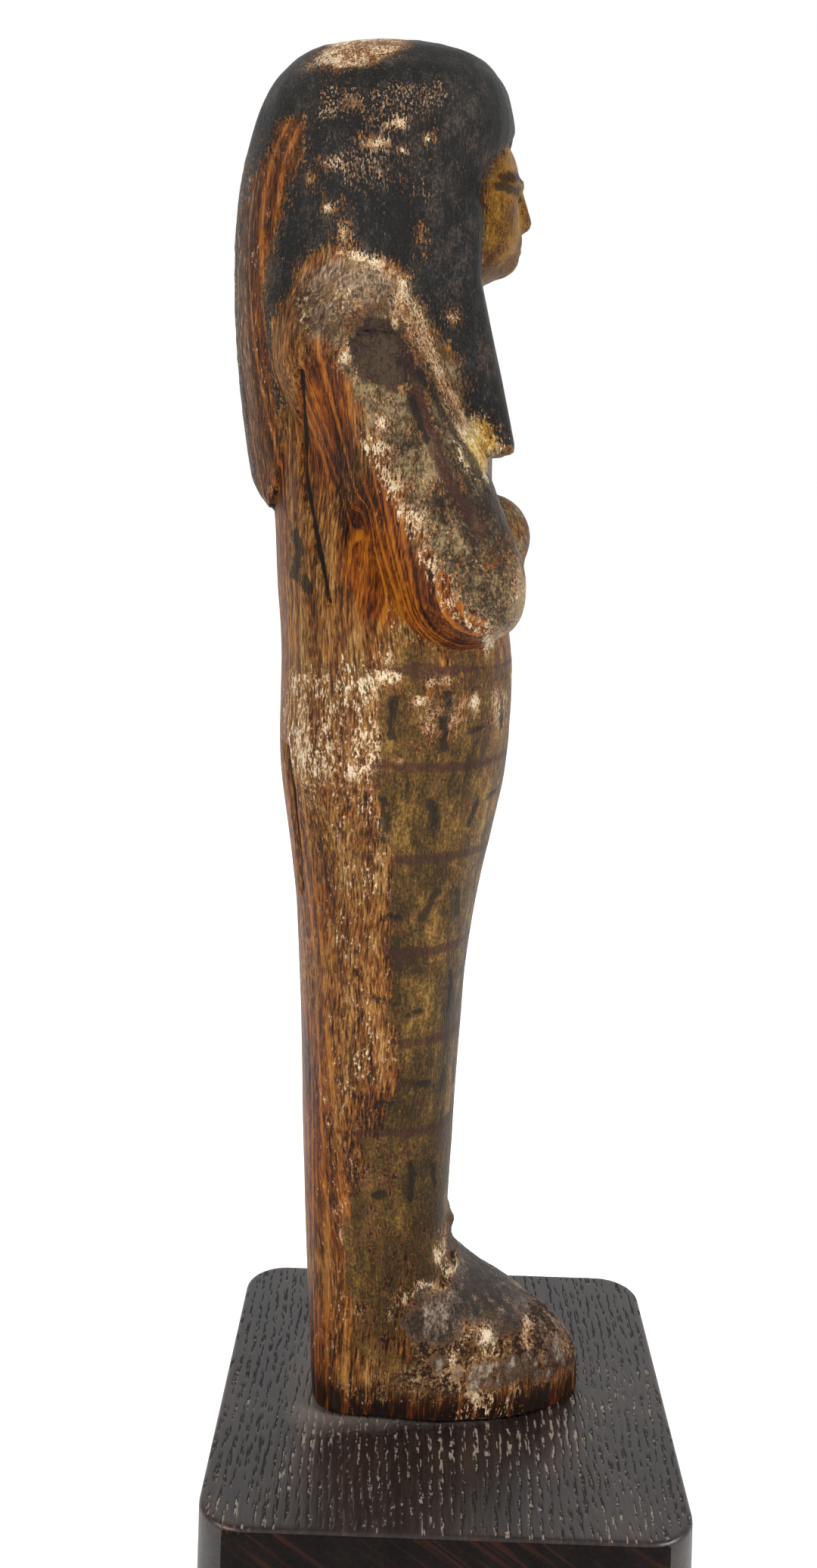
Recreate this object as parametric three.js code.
// A carved wooden ushabti figurine and the square stand it rests on.
// Millimetres, +Z up, origin at the centre of the stand's underside.
// The figure faces -Y, and its own right side is towards -X.
import * as THREE from 'three';
import { mergeVertices } from 'three/addons/utils/BufferGeometryUtils.js';

// ---- driving dimensions -------------------------------------------------------------------------

const standSide = 76;
const standHeight = 30;
const standCornerRadius = standSide / 10;
const standEdgeRound = 0.8;

const figureHeight = 233.4;
const figureShift = 3; // the figure stands this far to its own left of the stand's middle
const restingGap = 0.3;

const hairlineHeight = 217;
const chinHeight = 194;
const wigHemHeight = 152; // lower edge of the wig on the back
const lappetEndHeight = 162; // lower edge of the two front lappets
const shoulderHeight = 191;
const soleLength = 46.6;
const soleHalfWidth = 14;

const aroundCount = 64; // columns of the carved surface
const longestReach = 64; // no part of the figure is further than this from its middle line

// ---- small shape helpers ------------------------------------------------------------------------
// Every shape is a function of a point (x across, f forward, z above the sole) that is negative
// inside the wood, zero on its surface and positive outside.

const { clamp, lerp, smoothstep } = THREE.MathUtils;

function joined(a, b, softness) {
  const share = clamp(0.5 + (0.5 * (b - a)) / softness, 0, 1);
  return lerp(b, a, share) - softness * share * (1 - share);
}

function trimmed(a, b, softness) {
  return -joined(-a, -b, softness);
}

function egg(x, f, z, middle, radii, power = 2) {
  const across = Math.abs(x - middle.x) / radii.x;
  const along = Math.abs(f - middle.f) / radii.f;
  const up = Math.abs(z - middle.z) / radii.z;
  const reach = (across ** power + along ** power + up ** power) ** (1 / power);
  return (reach - 1) * Math.min(radii.x, radii.f, radii.z);
}

// A tapering limb between two round ends; flatness squeezes it sideways.
function limb(x, f, z, start, end, flatness = 1) {
  const run = [(end.x - start.x) / flatness, end.f - start.f, end.z - start.z];
  const offset = [(x - start.x) / flatness, f - start.f, z - start.z];
  const runSquared = run[0] ** 2 + run[1] ** 2 + run[2] ** 2;
  const dot = offset[0] * run[0] + offset[1] * run[1] + offset[2] * run[2];
  const share = clamp(dot / runSquared, 0, 1);
  const miss = offset.map((value, axis) => value - share * run[axis]);
  return Math.hypot(...miss) - lerp(start.radius, end.radius, share);
}

// A rounded horizontal section between a back line and a front line.
function oval(x, f, section, power) {
  const depth = (section.front - section.back) / 2;
  const across = Math.abs(x) / section.half;
  const along = Math.abs(f - (section.front + section.back) / 2) / depth;
  const reach = (across ** power + along ** power) ** (1 / power);
  return (reach - 1) * Math.min(section.half, depth);
}

// Sections at a few heights, with smooth curves between them.
function sectionsThrough(stations) {
  const heights = stations.map((station) => station.height);
  const sizes = stations.flatMap(({ back, front, half }) => [back, front, half]);
  const curve = new THREE.CubicInterpolant(heights, sizes, 3);
  return (height) => {
    const inRange = clamp(height, heights[0], heights.at(-1));
    const [back, front, half] = curve.evaluate(inRange);
    return { back, front, half };
  };
}

// ---- body: one wrapped column from the heels to the neck ----------------------------------------

const bodySection = sectionsThrough([
  { height: 0, back: -22.9, front: -2.0, half: 13.4 },
  { height: 30, back: -24.9, front: -0.5, half: 14.4 },
  { height: 60, back: -26.4, front: 0.8, half: 17.5 },
  { height: 85, back: -28.1, front: 3.0, half: 20.5 },
  { height: 108, back: -31.3, front: 7.4, half: 23.8 },
  { height: 128, back: -31.8, front: 8.2, half: 24.6 },
  { height: 146, back: -33.3, front: 4.6, half: 23.6 },
  { height: 165, back: -34.2, front: 3.6, half: 23.6 },
  { height: 180, back: -33.0, front: 2.4, half: 22.0 },
  { height: 190, back: -29.0, front: 1.6, half: 12.0 },
  { height: 206, back: -27.0, front: 0.5, half: 9.0 },
]);

function body(x, f, z) {
  const neckTop = 206;
  const squareness = lerp(3.6, 2.5, smoothstep(z, 4, 70));
  return Math.max(oval(x, f, bodySection(z), squareness), z - neckTop);
}

// ---- feet: one rounded wedge --------------------------------------------------------------------

function feet(x, f, z) {
  const toe = soleLength / 2;
  const heelInset = 3;
  const power = lerp(3.4, 2.3, smoothstep(f, -4, 4));
  const half = soleHalfWidth * (1 - 0.13 * clamp(f / toe, 0, 1));
  const plan = oval(x, f, { back: heelInset - toe, front: toe, half }, power);
  const toeHeight = 7.6;
  const instepSlope = 0.56;
  const sideFall = 4.5 * (Math.abs(x) / soleHalfWidth) ** 2.4;
  const roof = toeHeight + instepSlope * (toe - Math.max(f, 0)) - sideFall;
  return trimmed(plan, (z - roof) * 0.87, 4);
}

// ---- arms: upper arms down the sides, forearms crossed over the chest, fists ---------------------

const shoulder = { x: 18.2, f: -20, z: shoulderHeight - 12.8, radius: 13 };
const elbow = { x: 20.4, f: -2.2, z: 141.2, radius: 11.2 };
const armFlatness = 0.8;
const fist = { x: 8.6, f: 3.9, z: 147.9 };

function arms(x, f, z) {
  const side = Math.abs(x);
  let shape = limb(side, f, z, shoulder, elbow, armFlatness);
  for (const own of [-1, 1]) {
    const lift = own < 0 ? 0.7 : 0; // the right forearm lies over the left one
    const inElbow = { x: own * 18, f: 0.8 + lift, z: 138.5, radius: 7.6 };
    const wrist = { x: -own * 6, f: 3.8 + lift, z: 148, radius: 5.3 };
    shape = joined(shape, limb(x, f, z, inElbow, wrist), 1.6);
  }
  return joined(shape, egg(side, f, z, fist, { x: 6.2, f: 6.6, z: 7.3 }), 1.2);
}

// ---- wig: a cap that runs down the back, and two lappets ----------------------------------------

const wigSection = sectionsThrough([
  { height: wigHemHeight, back: -36.8, front: -2.0, half: 17.0 },
  { height: 166, back: -39.3, front: -1.5, half: 19.0 },
  { height: 178, back: -40.9, front: -0.5, half: 21.0 },
  { height: 189, back: -41.7, front: 0.8, half: 22.6 },
  { height: 200, back: -41.7, front: 1.8, half: 23.6 },
  { height: 210, back: -40.6, front: 3.6, half: 23.6 },
  { height: hairlineHeight, back: -39.2, front: 6.2, half: 22.4 },
  { height: 222, back: -37.6, front: 5.6, half: 20.6 },
  { height: 227, back: -34.6, front: 3.6, half: 17.4 },
  { height: 231, back: -30.0, front: -1.0, half: 12.4 },
  { height: figureHeight, back: -24.0, front: -9.0, half: 6.5 },
]);

function wig(x, f, z) {
  let cap = oval(x, f, wigSection(z), 2.35);
  cap = trimmed(cap, z - figureHeight, 1.2);
  const backHem = wigHemHeight + 1.2 * Math.max(0, -34.2 - f);
  const hemHeight = lerp(backHem, shoulderHeight - 0.5, smoothstep(f, -34, -26));
  cap = trimmed(cap, hemHeight - z, 1.5);
  const drop = clamp((z - lappetEndHeight) / (shoulderHeight - lappetEndHeight), 0, 1);
  const lappetCut = { back: -14, front: 7.4 - 6.9 * drop, half: lerp(6.6, 7.6, drop) };
  const lappetMiddle = lerp(10.8, 13.6, drop);
  let lappet = oval(Math.abs(x) - lappetMiddle, f, lappetCut, 4);
  lappet = trimmed(lappet, lappetEndHeight - z, 1.2);
  lappet = trimmed(lappet, z - hairlineHeight + 12, 4);
  return joined(cap, lappet, 2);
}

// ---- face: calm, with the canon's equal thirds between hairline and chin -------------------------

const faceThird = (hairlineHeight - chinHeight) / 3;
const browHeight = hairlineHeight - faceThird;
const noseHeight = browHeight - faceThird;

function faceOpening(x, f, z) {
  const middle = { x: 0, f: 8, z: (hairlineHeight + chinHeight) / 2 - 2.5 };
  return egg(x, f, z, middle, { x: 13.4, f: 13, z: 14.6 });
}

function face(x, f, z) {
  const side = Math.abs(x);
  const skull = egg(x, f, z, { x: 0, f: -5, z: 205.5 }, { x: 12.8, f: 12.4, z: 14 }, 2.8);
  const jaw = egg(x, f, z, { x: 0, f: -2.6, z: chinHeight + 5.6 }, { x: 9.2, f: 9.4, z: 5.8 });
  const nose = limb(
    x, f, z,
    { x: 0, f: 6.4, z: browHeight - 0.5, radius: 1.2 },
    { x: 0, f: 7.8, z: noseHeight + 1.2, radius: 1.8 },
  );
  const lips = egg(x, f, z, { x: 0, f: 6.2, z: noseHeight - faceThird / 3 }, { x: 3.6, f: 1.8, z: 1.5 });
  const socket = egg(side, f, z, { x: 4.9, f: 9.3, z: browHeight - 2 }, { x: 3.4, f: 2.6, z: 2.2 });
  let shape = joined(skull, jaw, 3);
  shape = trimmed(shape, -socket, 1.5);
  shape = joined(shape, nose, 1.2);
  return joined(shape, lips, 1);
}

// ---- the whole carving --------------------------------------------------------------------------

function carving(x, f, z) {
  const instepFillet = lerp(0.6, 7, smoothstep(f, -9, 3));
  let shape = joined(body(x, f, z), feet(x, f, z), instepFillet);
  shape = joined(shape, arms(x, f, z), 1.6);
  const openWig = trimmed(wig(x, f, z), -faceOpening(x, f, z), 1.6);
  const onShoulder = smoothstep(Math.abs(x), 11, 17)
    * smoothstep(z, shoulderHeight - 14, shoulderHeight - 4) * smoothstep(-f, 3, 9);
  shape = joined(shape, openWig, 1.2 + 4.6 * onShoulder);
  return joined(shape, face(x, f, z), 0.8);
}

// A row of the carved surface: rays that leave a point on the figure's middle line, level up to the
// middle of the head and then fanning upwards to the crown.
const fanHeight = 212;

function levelRow(height) {
  const bodyMiddle = -14;
  const feetMiddle = -1;
  return { f: lerp(feetMiddle, bodyMiddle, smoothstep(height, 10, 45)), height, lift: 0 };
}

function surfaceRows() {
  const bands = [
    { from: 0, to: 27, count: 11 },
    { from: 27, to: 124, count: 14 },
    { from: 124, to: 165, count: 17 },
    { from: 165, to: 190, count: 8 },
    { from: 190, to: fanHeight, count: 12 },
  ];
  const rows = bands.flatMap(({ from, to, count }) =>
    Array.from({ length: count }, (_, step) => levelRow(lerp(from, to, step / count))));
  const fanCount = 12;
  for (let step = 0; step <= fanCount; step += 1) {
    rows.push({ f: -16, height: fanHeight, lift: (Math.PI / 2) * (step / fanCount) });
  }
  return rows;
}

// How far a ray runs before it leaves the wood for good.
function reachAlong(row, direction) {
  const stride = 0.5;
  const depthAt = (reach) => carving(
    direction.x * reach,
    row.f + direction.f * reach,
    row.height + direction.z * reach,
  );
  let outside = longestReach;
  while (outside > stride && depthAt(outside - stride) > 0) outside -= stride;
  let inside = outside - stride;
  for (let halving = 0; halving < 14; halving += 1) {
    const middle = (inside + outside) / 2;
    if (depthAt(middle) > 0) outside = middle;
    else inside = middle;
  }
  return inside;
}

// The blank is a sphere's grid. Each of its points goes out along its ray to the carved surface, and
// the columns are drawn together a little where they cross the face, the fists and the feet.
function figurineGeometry() {
  const frontCrowding = 0.35;
  const rows = surfaceRows();
  const blank = new THREE.SphereGeometry(1, aroundCount, rows.length);
  const points = blank.getAttribute('position');
  const columns = aroundCount + 1;
  for (let level = 0; level <= rows.length; level += 1) {
    const row = rows[rows.length - 1 - level];
    for (let column = 0; column < columns; column += 1) {
      const index = level * columns + column;
      if (!row) {
        points.setXYZ(index, 0, -levelRow(0).f, 0);
        continue;
      }
      const turn = (column % aroundCount) / aroundCount;
      const angle = 2 * Math.PI * turn - frontCrowding * Math.sin(2 * Math.PI * turn);
      const direction = {
        x: Math.sin(angle) * Math.cos(row.lift),
        f: Math.cos(angle) * Math.cos(row.lift),
        z: Math.sin(row.lift),
      };
      const reach = level === 0 ? reachAlong(row, { x: 0, f: 0, z: 1 }) : reachAlong(row, direction);
      if (level === 0) points.setXYZ(index, 0, -row.f, row.height + reach);
      else {
        points.setXYZ(
          index,
          direction.x * reach,
          -(row.f + direction.f * reach),
          row.height + direction.z * reach,
        );
      }
    }
  }
  blank.deleteAttribute('normal');
  blank.deleteAttribute('uv');
  return mergeVertices(blank, 1e-4);
}

// ---- stand: a square block with rounded corners and eased edges ---------------------------------

function standGeometry() {
  const flat = standSide / 2 - standEdgeRound;
  const corner = standCornerRadius - standEdgeRound;
  const outline = new THREE.Shape();
  outline.moveTo(flat, -flat + corner);
  outline.absarc(flat - corner, flat - corner, corner, 0, Math.PI / 2);
  outline.absarc(-flat + corner, flat - corner, corner, Math.PI / 2, Math.PI);
  outline.absarc(-flat + corner, -flat + corner, corner, Math.PI, 1.5 * Math.PI);
  outline.absarc(flat - corner, -flat + corner, corner, 1.5 * Math.PI, 2 * Math.PI);
  const block = new THREE.ExtrudeGeometry(outline, {
    depth: standHeight - 2 * standEdgeRound,
    bevelEnabled: true,
    bevelSize: standEdgeRound,
    bevelThickness: standEdgeRound,
    bevelSegments: 1,
    curveSegments: 6,
  });
  block.translate(0, 0, standEdgeRound);
  block.deleteAttribute('normal');
  block.deleteAttribute('uv');
  return mergeVertices(block, 1e-4);
}

// ---- assembly -----------------------------------------------------------------------------------

const paintedWood = new THREE.MeshStandardMaterial({ color: 0x6b4326, roughness: 0.72, metalness: 0 });
const stainedOak = new THREE.MeshStandardMaterial({ color: 0x231815, roughness: 0.45, metalness: 0 });

const figurine = new THREE.Mesh(figurineGeometry(), paintedWood);
figurine.name = 'figurine';
figurine.position.set(figureShift, 0, standHeight + restingGap);

const displayBase = new THREE.Mesh(standGeometry(), stainedOak);
displayBase.name = 'display_base';

const ushabti = new THREE.Group();
ushabti.add(figurine, displayBase);

export default ushabti;
